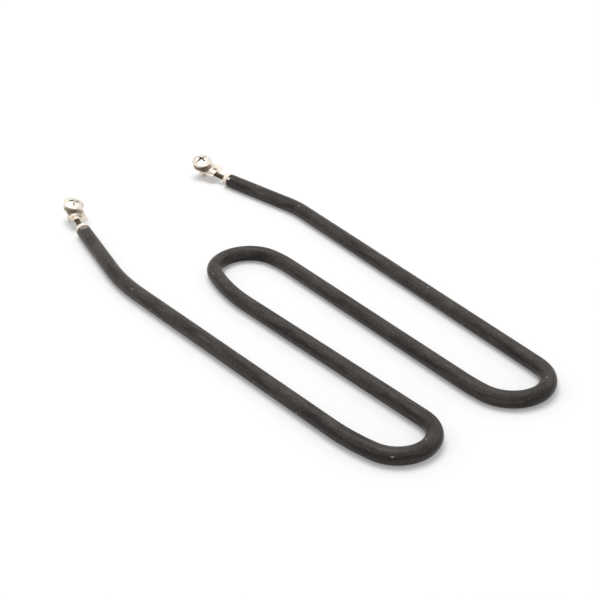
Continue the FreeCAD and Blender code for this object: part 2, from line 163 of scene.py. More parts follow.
# Where the sheath is smeared and chipped, and how far each mark reaches
SMEAR_PLACE = (-0.1165, -0.0504, 0.0079)
SMEAR_REACH = 2.8 * MM
CHIP_PLACE = (-0.1226, 0.0501, 0.0069)
CHIP_REACH = 1.1 * MM


# Node trees

class Board:
    """Adds nodes to one tree and joins their sockets."""

    def __init__(self, tree):
        self.tree = tree

    def add(self, kind, inputs=None, **settings):
        node = self.tree.nodes.new(kind)
        for name, value in settings.items():
            setattr(node, name, value)
        for key, value in (inputs or {}).items():
            if isinstance(value, bpy.types.NodeSocket):
                self.tree.links.new(value, node.inputs[key])
            else:
                node.inputs[key].default_value = value
        return node

    def math(self, operation, first, second=0.0, third=0.0):
        node = self.add("ShaderNodeMath", {0: first, 1: second, 2: third}, operation=operation)
        return node.outputs[0]

    def vector_math(self, operation, first, second=None, scale=None):
        inputs = {0: first}
        if second is not None:
            inputs[1] = second
        if scale is not None:
            inputs["Scale"] = scale
        return self.add("ShaderNodeVectorMath", inputs, operation=operation).outputs[0]


def ramp(board, value, low, high, to_low=0.0, to_high=1.0):
    """Map a value from one range to another, and clamp it there."""
    return board.add("ShaderNodeMapRange", {"Value": value, "From Min": low, "From Max": high,
                                            "To Min": to_low, "To Max": to_high}).outputs[0]


def tidy_up(tree):
    """Spread the nodes of a tree in columns, from left to right."""
    for number, node in enumerate(tree.nodes):
        node.location = (220 * (number // 6), -180 * (number % 6))


def start_tree(name, inputs, output):
    """Start a Geometry Nodes tree with its named inputs and its one output."""
    tree = bpy.data.node_groups.new(name, "GeometryNodeTree")
    for label, kind in inputs.items():
        tree.interface.new_socket(label, in_out="INPUT", socket_type=f"NodeSocket{kind}")
    tree.interface.new_socket(output, in_out="OUTPUT", socket_type="NodeSocketGeometry")
    board = Board(tree)
    return board, board.add("NodeGroupInput").outputs


def upright_path(board, given):
    """Fetch the path that is given, with its normals level."""
    path = board.add("GeometryNodeObjectInfo", {"Object": given["Path"]}).outputs["Geometry"]
    return board.add("GeometryNodeSetCurveNormal", {"Curve": path}, mode="Z_UP").outputs["Curve"]


def beside_path(board, path, way, angle, distance):
    """Give the place at a way along a path, at an angle round it and a distance from it."""
    spot = board.add("GeometryNodeSampleCurve", {"Curves": path, "Length": way}, mode="LENGTH",
                     use_all_curves=True).outputs
    binormal = board.vector_math("CROSS_PRODUCT", spot["Tangent"], spot["Normal"])
    aside = board.math("MULTIPLY", distance, board.math("SINE", angle))
    aloft = board.math("MULTIPLY", distance, board.math("COSINE", angle))
    off_axis = board.vector_math("ADD", board.vector_math("SCALE", spot["Normal"], scale=aside),
                                 board.vector_math("SCALE", binormal, scale=aloft))
    return board.vector_math("ADD", spot["Position"], off_axis)


def end_tree(board, mesh, given, output):
    """Shade a mesh smooth, make it real, give it its finish and hand it out."""
    smooth = board.add("GeometryNodeSetShadeSmooth", {"Geometry": mesh}).outputs[0]
    real = board.add("GeometryNodeRealizeInstances", {"Geometry": smooth}).outputs[0]
    done = board.add("GeometryNodeSetMaterial", {"Geometry": real, "Material": given["Finish"]}).outputs[0]
    board.add("NodeGroupOutput", {output: done})
    tidy_up(board.tree)
    return board.tree


def round_body_tree():
    """Build the tree that carries a round section along a path. Each vertex of the object is one station:
    X is the way along the path, Y the radius there and Z the depth of a thread."""
    board, given = start_tree("Round body along a path", {
        "Stations": "Geometry", "Path": "Object", "Sides": "Int", "Thread Pitch": "Float",
        "Finish": "Material"}, "Body")
    path = upright_path(board, given)
    tally = board.add("GeometryNodeAttributeDomainSize", {"Geometry": given["Stations"]})
    around = board.math("ADD", given["Sides"], 1.0)
    grid = board.add("GeometryNodeMeshGrid", {"Vertices X": tally.outputs["Point Count"],
                                              "Vertices Y": around}).outputs["Mesh"]
    index = board.add("GeometryNodeInputIndex").outputs["Index"]
    column = board.math("FLOOR", board.math("DIVIDE", board.math("ADD", index, 0.5), around))
    row = board.math("SUBTRACT", index, board.math("MULTIPLY", column, around))
    turn = board.math("DIVIDE", row, given["Sides"])
    place = board.add("GeometryNodeInputPosition").outputs["Position"]
    station = board.add("GeometryNodeSampleIndex", {"Geometry": given["Stations"], "Index": column},
                        data_type="FLOAT_VECTOR", domain="POINT", clamp=True)
    board.tree.links.new(place, station.inputs["Value"])
    parts = board.add("ShaderNodeSeparateXYZ", {0: station.outputs["Value"]}).outputs
    thread_turns = board.math("DIVIDE", parts["X"], given["Thread Pitch"])
    phase = board.math("FRACT", board.math("ADD", thread_turns, turn))
    flank = board.math("ABSOLUTE", board.math("MULTIPLY_ADD", phase, 2.0, -1.0))
    groove = ramp(board, flank, THREAD_LAND, 1 - THREAD_LAND)
    radius = board.math("SUBTRACT", parts["Y"], board.math("MULTIPLY", groove, parts["Z"]))
    surface = beside_path(board, path, parts["X"], board.math("MULTIPLY", turn, 2 * math.pi), radius)
    shaped = board.add("GeometryNodeSetPosition", {"Geometry": grid, "Position": surface}).outputs[0]
    lay = board.add("ShaderNodeCombineXYZ", {"X": parts["X"], "Y": turn, "Z": 0.0}).outputs[0]
    lay = board.add("GeometryNodeFieldOnDomain", {"Value": lay}, data_type="FLOAT_VECTOR",
                    domain="POINT").outputs[0]
    marked = board.add("GeometryNodeStoreNamedAttribute", {"Geometry": shaped, "Name": "lay", "Value": lay},
                       data_type="FLOAT2", domain="CORNER").outputs[0]
    closed = board.add("GeometryNodeMergeByDistance", {"Geometry": marked, "Distance": 1e-6}).outputs[0]
    return end_tree(board, closed, given, "Body")


ROUND_BODY = round_body_tree()


def wound_wire_tree():
    """Build the tree that winds a round wire about a path, between two ways along it."""
    board, given = start_tree("Wire wound about a path", {
        "Path": "Object", "Start": "Float", "End": "Float", "Turns": "Int", "Steps in a Turn": "Int",
        "Winding Radius": "Float", "Wire Radius": "Float", "Finish": "Material"}, "Wire")
    path = upright_path(board, given)
    steps = board.math("MULTIPLY", given["Turns"], given["Steps in a Turn"])
    line = board.add("GeometryNodeMeshLine", {"Count": board.math("ADD", steps, 1.0)}).outputs["Mesh"]
    strand = board.add("GeometryNodeMeshToCurve", {"Mesh": line}).outputs["Curve"]
    index = board.add("GeometryNodeInputIndex").outputs["Index"]
    run = board.math("SUBTRACT", given["End"], given["Start"])
    way = board.math("MULTIPLY_ADD", board.math("DIVIDE", index, steps), run, given["Start"])
    angle = board.math("MULTIPLY", board.math("DIVIDE", index, given["Steps in a Turn"]), 2 * math.pi)
    place = beside_path(board, path, way, angle, given["Winding Radius"])
    strand = board.add("GeometryNodeSetPosition", {"Geometry": strand, "Position": place}).outputs[0]
    section = board.add("GeometryNodeCurvePrimitiveCircle",
                        {"Resolution": WIRE_SIDES, "Radius": given["Wire Radius"]}).outputs["Curve"]
    wire = board.add("GeometryNodeCurveToMesh", {"Curve": strand, "Profile Curve": section,
                                                 "Fill Caps": True}).outputs["Mesh"]
    return end_tree(board, wire, given, "Wire")


WOUND_WIRE = wound_wire_tree()


def set_inputs(modifier, values):
    """Set a modifier's inputs by their sockets' identifiers."""
    for item in modifier.node_group.interface.items_tree:
        if item.item_type == "SOCKET" and item.in_out == "INPUT" and item.name in values:
            modifier[item.identifier] = values[item.name]


# Meshes

def new_object(name, mesh):
    thing = bpy.data.objects.new(name, mesh)
    bpy.context.scene.collection.objects.link(thing)
    return thing


def baked(thing):
    """Turn an object with modifiers into a plain mesh object, and drop the first one."""
    bpy.context.view_layer.update()
    graph = bpy.context.evaluated_depsgraph_get()
    mesh = bpy.data.meshes.new_from_object(thing.evaluated_get(graph), depsgraph=graph)
    name = thing.name
    bpy.data.objects.remove(thing)
    result = new_object(name, mesh)
    mesh.name = name
    return result


def point_outward(mesh, crease):
    """Turn all faces outward, and keep edges sharp that are steeper than the crease."""
    work = bmesh.new()
    work.from_mesh(mesh)
    bmesh.ops.recalc_face_normals(work, faces=work.faces)
    work.to_mesh(mesh)
    work.free()
    mesh.set_sharp_from_angle(angle=math.radians(crease))


def station_mesh(stations):
    """Hold stations of (way, radius, thread depth) as loose vertices."""
    mesh = bpy.data.meshes.new("stations")
    mesh.from_pydata([tuple(station) for station in stations], [], [])
    return mesh


def round_body(name, stations, path, finish, sides=48, pitch=0.0, crease=30.0):
    """Make a round body from its stations along a path."""
    thing = new_object(name, station_mesh(stations))
    modifier = thing.modifiers.new("round body", "NODES")
    modifier.node_group = ROUND_BODY
    set_inputs(modifier, {"Path": path, "Sides": sides, "Thread Pitch": pitch, "Finish": finish})
    result = baked(thing)
    point_outward(result.data, crease)
    return result


def keep(piece, node):
    """Let a finished piece stand for its node."""
    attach(piece, "root")
    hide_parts(node)


# Paths

def u_bend(side, lead_in, radius, splay, lead_out):
    """List the three arcs of a U-bend: a wide one in, the tight one and a wide one out."""
    main = 180 + splay - lead_in - lead_out
    return [(LEAD_IN_RADIUS, side * lead_in), (radius, side * main), (LEAD_OUT_RADIUS, side * lead_out)]


def serpentine_steps():
    """List the runs and arcs of the sheath's axis from terminal 1. Left turns are positive."""
    steps = [(TAIL_1_RUN,), TAIL_1_BEND]
    for run, bend in zip(LEG_RUNS, U_BENDS):
        steps += [(run,), *u_bend(*bend)]
    return [*steps, (LEG_RUNS[-1],), TAIL_2_BEND, (TAIL_2_RUN,)]


def bezier_path(name, steps, heading=0.0):
    """Draw runs and arcs in the XY plane as a Bezier curve. Arcs are parted into pieces of 30 degrees at
    most. Give the curve, its end and its last heading."""
    spot = Vector((0.0, 0.0, 0.0))
    points = []
    before = 1.0 * MM
    for step in steps:
        if len(step) == 1:
            pieces = [(None, step[0] * MM)]
        else:
            count = math.ceil(abs(step[1]) / 30)
            pieces = [(step[0] * MM, math.radians(step[1]) / count)] * count
        for radius, measure in pieces:
            ahead = Vector((math.cos(heading), math.sin(heading), 0))
            if radius is None:
                reach = measure / 3
                end = spot + ahead * measure
            else:
                reach = radius * 4 / 3 * math.tan(abs(measure) / 4)
                side = math.copysign(1, measure)
                centre = spot + Vector((-ahead.y, ahead.x, 0)) * radius * side
                heading += measure
                end = centre - Vector((-math.sin(heading), math.cos(heading), 0)) * radius * side
            points.append((spot, ahead, before, reach))
            spot = end
            before = reach
    ahead = Vector((math.cos(heading), math.sin(heading), 0))
    points.append((spot, ahead, before, 1.0 * MM))
    curve = bpy.data.curves.new(name, "CURVE")
    curve.dimensions = "3D"
    curve.resolution_u = 24
    spline = curve.splines.new("BEZIER")
    spline.bezier_points.add(len(points) - 1)
    for point, (place, ahead, before, after) in zip(spline.bezier_points, points):
        point.co = place
        point.handle_left = place - ahead * before
        point.handle_right = place + ahead * after
    return new_object(name, curve), spot, heading


def straight_path(name, start, end):
    """Draw one straight run between two places."""
    curve = bpy.data.curves.new(name, "CURVE")
    curve.dimensions = "3D"
    spline = curve.splines.new("POLY")
    spline.points.add(1)
    spline.points[0].co = (*start, 1)
    spline.points[1].co = (*end, 1)
    return new_object(name, curve)


def mean_leg_heading(steps):
    """Give the mean direction of the four legs, each turned to run outward."""
    heading = 0.0
    legs = []
    for number, step in enumerate(steps):
        if len(step) == 2:
            heading += step[1]
        elif number not in (0, len(steps) - 1):
            legs.append(heading)
    outward = [leg - 180 * (number % 2) for number, leg in enumerate(legs)]
    return math.radians(sum(outward) / len(outward))


def turned(degrees, axis):
    return Matrix.Rotation(math.radians(degrees), 4, axis)


def path_length(steps):
    return sum(step[0] if len(step) == 1 else step[0] * math.radians(abs(step[1])) for step in steps) * MM


# Finishes

def new_finish(name):
    """Start a material and give its board, its shader and its Object coordinates."""
    finish = bpy.data.materials.new(name)
    finish.use_nodes = True
    board = Board(finish.node_tree)
    shader = finish.node_tree.nodes["Principled BSDF"]
    where = board.add("ShaderNodeTexCoord").outputs["Object"]
    return finish, board, shader, where


def blend_colours(board, factor, first, second):
    """Mix two colours, or what feeds them."""
    mix = board.add("ShaderNodeMix", data_type="RGBA")
    for socket, value in ((mix.inputs[0], factor), (mix.inputs[6], first), (mix.inputs[7], second)):
        if isinstance(value, bpy.types.NodeSocket):
            board.tree.links.new(value, socket)
        else:
            socket.default_value = value
    return mix.outputs[2]


def noise(board, where, scale, detail=4.0, roughness=0.5):
    return board.add("ShaderNodeTexNoise", {"Vector": where, "Scale": scale, "Detail": detail,
                                            "Roughness": roughness}).outputs["Fac"]


def painted(board, name):
    """Fetch an attribute that the mesh carries."""
    return board.add("ShaderNodeAttribute", attribute_name=name).outputs


def stretched(board, where, scale, rotation=(0.0, 0.0, 0.0)):
    """Scale coordinates unevenly, so that a pattern on them runs one way."""
    return board.add("ShaderNodeMapping", {"Vector": where, "Rotation": rotation, "Scale": scale}).outputs[0]


def near(board, where, place, reach):
    """Mark what lies within reach of a place, with a ragged edge."""
    spread = board.math("MULTIPLY_ADD", noise(board, where, 1400.0, 2.0), reach, -0.5 * reach)
    apart = board.add("ShaderNodeVectorMath", {0: where, 1: place}, operation="DISTANCE").outputs["Value"]
    return ramp(board, board.math("ADD", apart, spread), reach, 0.7 * reach)


def grey(level):
    return (level, level, level, 1.0)


def feed(board, shader, inputs):
    """Link sockets to a shader's inputs, and set constants on them."""
    for name, value in inputs.items():
        if isinstance(value, bpy.types.NodeSocket):
            board.tree.links.new(value, shader.inputs[name])
        else:
            shader.inputs[name].default_value = value


def bumps(board, height, strength, distance):
    node = board.add("ShaderNodeBump", {"Height": height, "Strength": strength, "Distance": distance})
    return node.outputs[0]


def nicks(board, lay):
    """Mark a few small bright spots, scattered over the wall of the tube."""
    nick_lay = stretched(board, lay, (60.0, 3.0, 1.0))
    cells = board.add("ShaderNodeTexVoronoi", {"Vector": nick_lay, "Scale": 1.0},
                      voronoi_dimensions="2D").outputs
    draw = board.add("ShaderNodeSeparateXYZ", {0: cells["Color"]}).outputs["X"]
    spot = ramp(board, cells["Distance"], 0.05, 0.02, 0.0, 0.6)
    return board.math("MULTIPLY", board.math("GREATER_THAN", draw, 0.75), spot)


def oxide_finish():
    """The dark, dull oxide of the sheath: fine grain, lengthwise rubs, soot, nicks, and a smear and a chip
    by the mouths."""
    finish, board, shader, where = new_finish("dark sheath oxide")
    lay = painted(board, "lay")["Vector"]
    mottle = noise(board, where, 900.0, 5.0, 0.6)
    cloud = noise(board, where, 90.0, 3.0, 0.55)
    streak = noise(board, stretched(board, lay, (110.0, 26.0, 1.0)), 1.0, 5.0, 0.6)
    colour = blend_colours(board, ramp(board, cloud, 0.35, 0.7), DARK_OXIDE, WARM_OXIDE)
    colour = blend_colours(board, ramp(board, mottle, 0.42, 0.72, 0.0, 0.75), colour, OXIDE_GRAIN)
    rub = board.math("MULTIPLY", ramp(board, streak, 0.46, 0.66), ramp(board, cloud, 0.35, 0.6, 0.15, 1.0))
    colour = blend_colours(board, board.math("MULTIPLY", rub, 0.38), colour, RUBBED_OXIDE)
    patches = noise(board, stretched(board, lay, (42.0, 8.0, 1.0)), 1.0, 3.0, 0.55)
    colour = blend_colours(board, ramp(board, patches, 0.52, 0.36, 0.0, 0.75), colour, SHEATH_SOOT)
    colour = blend_colours(board, nicks(board, lay), colour, SHEATH_NICK)
    smear = near(board, where, SMEAR_PLACE, SMEAR_REACH)
    smear = board.math("MULTIPLY", smear, ramp(board, mottle, 0.3, 0.5, 0.0, 0.8))
    colour = blend_colours(board, smear, colour, MOUTH_SMEAR)
    colour = blend_colours(board, near(board, where, CHIP_PLACE, CHIP_REACH), colour, MOUTH_CHIP)
    relief = board.math("ADD", board.math("MULTIPLY", mottle, 0.6), board.math("MULTIPLY", streak, 0.4))
    feed(board, shader, {
        "Base Color": colour,
        "Roughness": ramp(board, mottle, 0.3, 0.7, 0.42, 0.58),
        "Metallic": 0.0,
        "Specular IOR Level": 0.22,
        "Sheen Weight": 0.35,
        "Sheen Roughness": 0.3,
        "Sheen Tint": OXIDE_SHEEN,
        "Normal": bumps(board, relief, 0.25, 0.08 * MM),
    })
    tidy_up(board.tree)
    return finish


def ceramic_finish():
    """Unglazed cream ceramic with faint specks."""
    finish, board, shader, where = new_finish("cream bushing ceramic")
    grain = noise(board, where, 1500.0, 4.0, 0.6)
    stain = noise(board, where, 260.0, 3.0, 0.6)
    colour = blend_colours(board, ramp(board, stain, 0.35, 0.75), CREAM_CERAMIC, STAINED_CERAMIC)
    colour = blend_colours(board, ramp(board, grain, 0.66, 0.74, 0.0, 0.6), colour, CERAMIC_SPECK)
    feed(board, shader, {
        "Base Color": colour,
        "Roughness": 0.55,
        "Normal": bumps(board, grain, 0.3, 0.05 * MM),
    })
    tidy_up(board.tree)
    return finish


def pin_finish():
    """Heat-darkened steel of the cold pins, drawn lengthwise."""
    finish, board, shader, where = new_finish("darkened pin steel")
    lay = painted(board, "lay")["Vector"]
    lines = noise(board, stretched(board, lay, (200.0, 40.0, 1.0)), 1.0, 4.0, 0.6)
    tint = noise(board, where, 500.0, 3.0, 0.6)
    colour = blend_colours(board, ramp(board, tint, 0.35, 0.7), DARK_PIN, BROWN_PIN)
    colour = blend_colours(board, ramp(board, lines, 0.5, 0.75, 0.0, 0.5), colour, DRAWN_PIN)
    feed(board, shader, {
        "Base Color": colour,
        "Metallic": 0.9,
        "Roughness": ramp(board, lines, 0.3, 0.7, 0.36, 0.55),
    })
    tidy_up(board.tree)
    return finish


def nickel_finish(name, light, dull):
    """Nickel plate, warm and a little tarnished, with fine scratches, and grime with painted shade where the
    mesh is marked.
    """
    finish, board, shader, where = new_finish(name)
    tarnish = noise(board, where, 420.0, 4.0, 0.6)
    scratch_lay = stretched(board, where, (350.0, 4200.0, 900.0), (0.3, 0.2, 0.7))
    scratch = noise(board, scratch_lay, 1.0, 2.0, 0.5)
    colour = blend_colours(board, ramp(board, tarnish, 0.42, 0.72), light, dull)
    # Painted shade, with some grime, darkens the screw where the mesh is marked
    grime = painted(board, "grime")["Fac"]
    colour = blend_colours(board, ramp(board, grime, 0.15, 0.8, 0.0, 0.93), colour, SCREW_SHADE_AND_GRIME)
    dulled = ramp(board, tarnish, 0.3, 0.7, 0.2, 0.34)
    scratched = ramp(board, scratch, 0.55, 0.75, 0.0, 0.12)
    feed(board, shader, {
        "Base Color": colour,
        "Metallic": 0.85,
        "Roughness": board.math("ADD", dulled, scratched),
        "Normal": bumps(board, scratch, 0.12, 0.03 * MM),
    })
    tidy_up(board.tree)
    return finish


def powder_finish():
    """Compacted magnesia powder."""
    finish, board, shader, where = new_finish("compacted magnesia")
    grain = noise(board, where, 3000.0, 3.0, 0.7)
    colour = blend_colours(board, grain, DULL_MAGNESIA, CLEAN_MAGNESIA)
    feed(board, shader, {
        "Base Color": colour,
        "Roughness": 0.9,
        "Normal": bumps(board, grain, 0.4, 0.05 * MM),
    })
    tidy_up(board.tree)
    return finish


def wire_finish():
    """Bright grey resistance wire."""
    finish, board, shader, where = new_finish("resistance wire")
    tint = noise(board, where, 700.0, 3.0, 0.6)
    colour = blend_colours(board, tint, DARK_WIRE, BRIGHT_WIRE)
    feed(board, shader, {
        "Base Color": colour,
        "Metallic": 1.0,
        "Roughness": ramp(board, tint, 0.3, 0.7, 0.3, 0.45),
    })
    tidy_up(board.tree)
    return finish


# Pieces

def build_sheath(path, length, finish):
    """The drawn tube: outer wall, chamfered mouths and bore."""
    bore = SHEATH_RADIUS - SHEATH_WALL
    shoulder = SHEATH_RADIUS - MOUTH_CHAMFER
    count = 640
    first = MOUTH_CHAMFER
    last = length - MOUTH_CHAMFER
    outer = [(first + (last - first) * n / count, SHEATH_RADIUS, 0.0) for n in range(count + 1)]
    inner = [(length * (1 - n / (count // 2)), bore, 0.0) for n in range(count // 2 + 1)]
    stations = [(0.0, shoulder, 0.0), *outer, (length, shoulder, 0.0), *inner, (0.0, shoulder, 0.0)]
    return round_body("sheath_tube", stations, path, finish, sides=48)


def build_coil(path, length, finish):
    """The resistance wire, wound about the sheath's axis and over the inner end of each pin."""
    start = PIN_BURIED - COIL_GRIP
    end = length - start
    thing = new_object("wound_resistance_wire", bpy.data.meshes.new("wire"))
    modifier = thing.modifiers.new("winding", "NODES")
    modifier.node_group = WOUND_WIRE
    set_inputs(modifier, {
        "Path": path,
        "Start": start,
        "End": end,
        "Turns": round((end - start) / COIL_PITCH),
        "Steps in a Turn": COIL_STEPS,
        "Winding Radius": PIN_RADIUS + COIL_WIRE / 2,
        "Wire Radius": COIL_WIRE / 2,
        "Finish": finish,
    })
    coil = baked(thing)
    point_outward(coil.data, 40.0)
    return coil


def arc_stations(centre_way, centre_radius, reach, start, end, count):
    """Round an edge of a turned profile, between two angles in degrees."""
    angles = [math.radians(start + (end - start) * n / count) for n in range(count + 1)]
    return [(centre_way + reach * math.cos(a), centre_radius + reach * math.sin(a), 0.0) for a in angles]


def build_bushing(number, place, finish):
    """The ceramic bushing: collar on the cut end, spigot in the bore, hole for the pin."""
    spigot = SHEATH_RADIUS - SHEATH_WALL - SPIGOT_CLEARANCE
    edge = BUSHING_EDGE
    heel = 0.3 * BUSHING_EDGE
    low = SPIGOT_LENGTH
    high = SPIGOT_LENGTH + BUSHING_HEIGHT
    stations = [
        (0.0, PIN_RADIUS, 0.0),
        (0.0, spigot, 0.0),
        (low, spigot, 0.0),
        (low, BUSHING_RADIUS - heel, 0.0),
        *arc_stations(low + heel, BUSHING_RADIUS - heel, heel, 180, 90, 3)[1:],
        *arc_stations(high - edge, BUSHING_RADIUS - edge, edge, 90, 0, 6),
        (high, PIN_RADIUS + edge, 0.0),
        (high - edge * 0.6, PIN_RADIUS, 0.0),
        (0.0, PIN_RADIUS, 0.0),
    ]
    axis = straight_path("bushing axis", (-SPIGOT_LENGTH, 0, 0), (BUSHING_HEIGHT, 0, 0))
    bushing = round_body(f"ceramic_bushing_{number}", stations, axis, finish, sides=64, crease=50)
    bushing.data.transform(place)
    bpy.data.objects.remove(axis)
    return bushing


def bend_tangent(number):
    """Give the way from the start of a pin's bend to its knee."""
    return PIN_BEND_RADIUS * math.tan(math.radians(PIN_TILTS[number]) / 2)


def build_pin(number, place, finish):
    """The cold pin: straight through the bushing, then bent to the lug."""
    straight = PIN_BURIED + BUSHING_HEIGHT + PIN_BEND_OFFSET
    outer = LUG_GAP + BARREL_RUN - bend_tangent(number)
    steps = [(straight / MM,), (PIN_BEND_RADIUS / MM, PIN_TILTS[number]), (outer / MM,)]
    path, _, _ = bezier_path("pin path", steps)
    path.data.transform(Matrix.Rotation(math.pi / 2, 4, "X"))
    path.data.transform(Matrix.Translation((-PIN_BURIED, 0, 0)))
    length = path_length(steps)
    count = 60
    run = [(PIN_EDGE + (length - 2 * PIN_EDGE) * n / count, PIN_RADIUS, 0.0) for n in range(count + 1)]
    nose = PIN_RADIUS - PIN_EDGE
    stations = [(0.0, 0.0, 0.0), (0.0, nose, 0.0), *run, (length, nose, 0.0), (length, 0.0, 0.0)]
    pin = round_body(f"terminal_pin_{number}", stations, path, finish, sides=32)
    pin.data.transform(place)
    bpy.data.objects.remove(path)
    return pin


def extruded(name, outline, low, high):
    """Make a closed block from an outline in the XY plane."""
    mesh = bpy.data.meshes.new(name)
    count = len(outline)
    vertices = [(x, y, low) for x, y in outline] + [(x, y, high) for x, y in outline]
    sides = [(n, (n + 1) % count, count + (n + 1) % count, count + n) for n in range(count)]
    mesh.from_pydata(vertices, [], [tuple(range(count))[::-1], tuple(range(count, 2 * count)), *sides])
    return new_object(name, mesh)


def plate_outline():
    """Outline the lug's plate: two rounded corners at the back, a round tip at the screw. The sides spread
    a little towards the tip."""
    spread = (LUG_WIDTH - LUG_BACK_WIDTH) / 2 / SCREW_OFFSET
    lean = math.degrees(math.atan(spread))
    corner_y = LUG_BACK_WIDTH / 2 + spread * LUG_CORNER - LUG_CORNER * math.hypot(1, spread)
    points = []
    for centre_x, centre_y, radius, start, end, count in (
            (LUG_GAP + LUG_CORNER, corner_y, LUG_CORNER, 90 + lean, 180, 8),
            (LUG_GAP + LUG_CORNER, -corner_y, LUG_CORNER, 180, 270 - lean, 8),
            (LUG_GAP + SCREW_OFFSET, 0.0, LUG_WIDTH / 2, -90, 90, 48)):
        for n in range(count + 1):
            angle = math.radians(start + (end - start) * n / count)
            across = LUG_SHIFT + centre_y + radius * math.sin(angle)
            points.append((centre_x + radius * math.cos(angle), across))
    return points


def capsule(name, radius, start, run):
    """Make a round-nosed rod along X, from a flat back to its nose."""
    count = 12
    stations = [(0.0, 0.0, 0.0), (0.0, radius, 0.0), (run, radius, 0.0)]
    stations += arc_stations(run, 0.0, radius, 90, 0, count)[1:]
    axis = straight_path("rod axis", (start, 0, 0), (start + run + radius, 0, 0))
    rod = round_body(name, stations, axis, None, sides=64)
    bpy.data.objects.remove(axis)
    return rod


def half_capsule(name, radius, start, run):
    """Make a round-nosed rod along X without its lower half."""
    below = [(x * 30 * MM, y * 10 * MM) for x, y in ((0, -1), (1, -1), (1, 1), (0, 1))]
    return cut(capsule(name, radius, start, run), extruded("below", below, -10 * MM, 0))


def cut(thing, tool, operation="DIFFERENCE"):
    """Cut one solid by another, or join them, and drop the second."""
    modifier = thing.modifiers.new("cut", "BOOLEAN")
    modifier.operation = operation
    modifier.solver = "EXACT"
    modifier.object = tool
    result = baked(thing)
    bpy.data.objects.remove(tool)
    return result


def soften(thing, cell, rounds, share):
    """Round all edges of a solid as pressing and plating do: remesh it finely, relax it, thin it out."""
    remesh = thing.modifiers.new("fine cells", "REMESH")
    remesh.mode = "VOXEL"
    remesh.voxel_size = cell
    relax = thing.modifiers.new("relax", "CORRECTIVE_SMOOTH")
    relax.iterations = rounds
    relax.smooth_type = "LENGTH_WEIGHTED"
    relax.use_only_smooth = True
    thin = thing.modifiers.new("thin out", "DECIMATE")
    thin.ratio = share
    result = baked(thing)
    for polygon in result.data.polygons:
        polygon.use_smooth = True
    return result


def build_lug(number, place, finish):
    """The stamped lug: plate, pressed barrel crimped over the pin, and tapped collar for the screw."""
    tip_x = LUG_GAP + SCREW_OFFSET
    boss_x = LUG_GAP + BOSS_INSET
    sleeve = PIN_RADIUS + LUG_THICKNESS
    lug = extruded(f"screw_lug_{number}", plate_outline(), LUG_RISE, LUG_RISE + LUG_THICKNESS)
    boss = half_capsule("boss", sleeve + BOSS_HEIGHT, boss_x, BOSS_RUN)
    boss.data.transform(Matrix.Diagonal((1.0, BOSS_SPREAD, 1.0, 1.0)))
    lug = cut(lug, boss, "UNION")
    crimp = straight_rod("crimp", sleeve + CRIMP_HEIGHT, (boss_x - CRIMP_LAP, 0, LUG_THICKNESS),
                         (boss_x + CRIMP_DEPTH, 0, LUG_THICKNESS))
    lug = cut(lug, crimp)
    neck = half_capsule("neck", sleeve, LUG_GAP, BARREL_RUN)
    neck.data.transform(Matrix.Diagonal((1.0, NECK_SPREAD, 1.0, 1.0)))
    lug = cut(lug, neck, "UNION")
    collar = straight_rod("collar", SCREW_RADIUS + COLLAR_WALL, (tip_x, LUG_SHIFT, LUG_RISE - COLLAR_HEIGHT),
                          (tip_x, LUG_SHIFT, LUG_RISE + 0.5 * LUG_THICKNESS))
    lug = cut(lug, collar, "UNION")
    lug = cut(lug, capsule("channel", PIN_RADIUS, LUG_GAP - 1 * MM, BARREL_RUN + 1 * MM))
    bore = straight_rod("bore", SCREW_RADIUS, (tip_x, LUG_SHIFT, -5 * MM), (tip_x, LUG_SHIFT, 5 * MM))
    lug = cut(lug, bore)
    lug = soften(lug, 0.1 * MM, 4, 0.3)
    lug.data.materials.clear()
    lug.data.materials.append(finish)
    lug.data.transform(place)
    return lug


def straight_rod(name, radius, start, end):
    """Make a plain rod between two places."""
    length = (Vector(end) - Vector(start)).length
    stations = [(0.0, 0.0, 0.0), (0.0, radius, 0.0), (length, radius, 0.0), (length, 0.0, 0.0)]
    axis = straight_path("rod axis", start, end)
    rod = round_body(name, stations, axis, None, sides=64)
    bpy.data.objects.remove(axis)
    return rod


def dome_radius():
    """Give the radius of the sphere that the screw's head is part of."""
    return (HEAD_RADIUS ** 2 + (HEAD_HEIGHT - HEAD_RIM) ** 2) / (2 * (HEAD_HEIGHT - HEAD_RIM))


def screw_stations():
    """List the stations of the screw from its tip: chamfer, thread that fades under the head, and head."""
    steps = 12
    runs = round(SCREW_LENGTH / THREAD_PITCH * steps)
    first = 0.2 * SCREW_CHAMFER
    threaded = SCREW_LENGTH - SCREW_CHAMFER
    stations = [(0.0, 0.0, 0.0), (0.0, SCREW_RADIUS - SCREW_CHAMFER, 0.0)]
    for n in range(runs + 1):
        way = first + threaded * n / runs
        radius = min(SCREW_RADIUS, SCREW_RADIUS - SCREW_CHAMFER + way)
        depth = max(0.0, THREAD_DEPTH - (SCREW_RADIUS - radius)) * min(1.0, (runs - n) / (2 * steps))
        stations.append((way, radius, depth))
    stations.append((SCREW_LENGTH, SCREW_RADIUS, 0.0))
    stations += arc_stations(SCREW_LENGTH + HEAD_EDGE, HEAD_RADIUS - HEAD_EDGE, HEAD_EDGE, 180, 90, 4)
    stations.append((SCREW_LENGTH + HEAD_RIM, HEAD_RADIUS, 0.0))
    dome = dome_radius()
    rim_angle = math.degrees(math.atan2(HEAD_RADIUS, dome - (HEAD_HEIGHT - HEAD_RIM)))
    return stations + arc_stations(SCREW_LENGTH + HEAD_HEIGHT - dome, 0.0, dome, rim_angle, 0, 16)[1:]


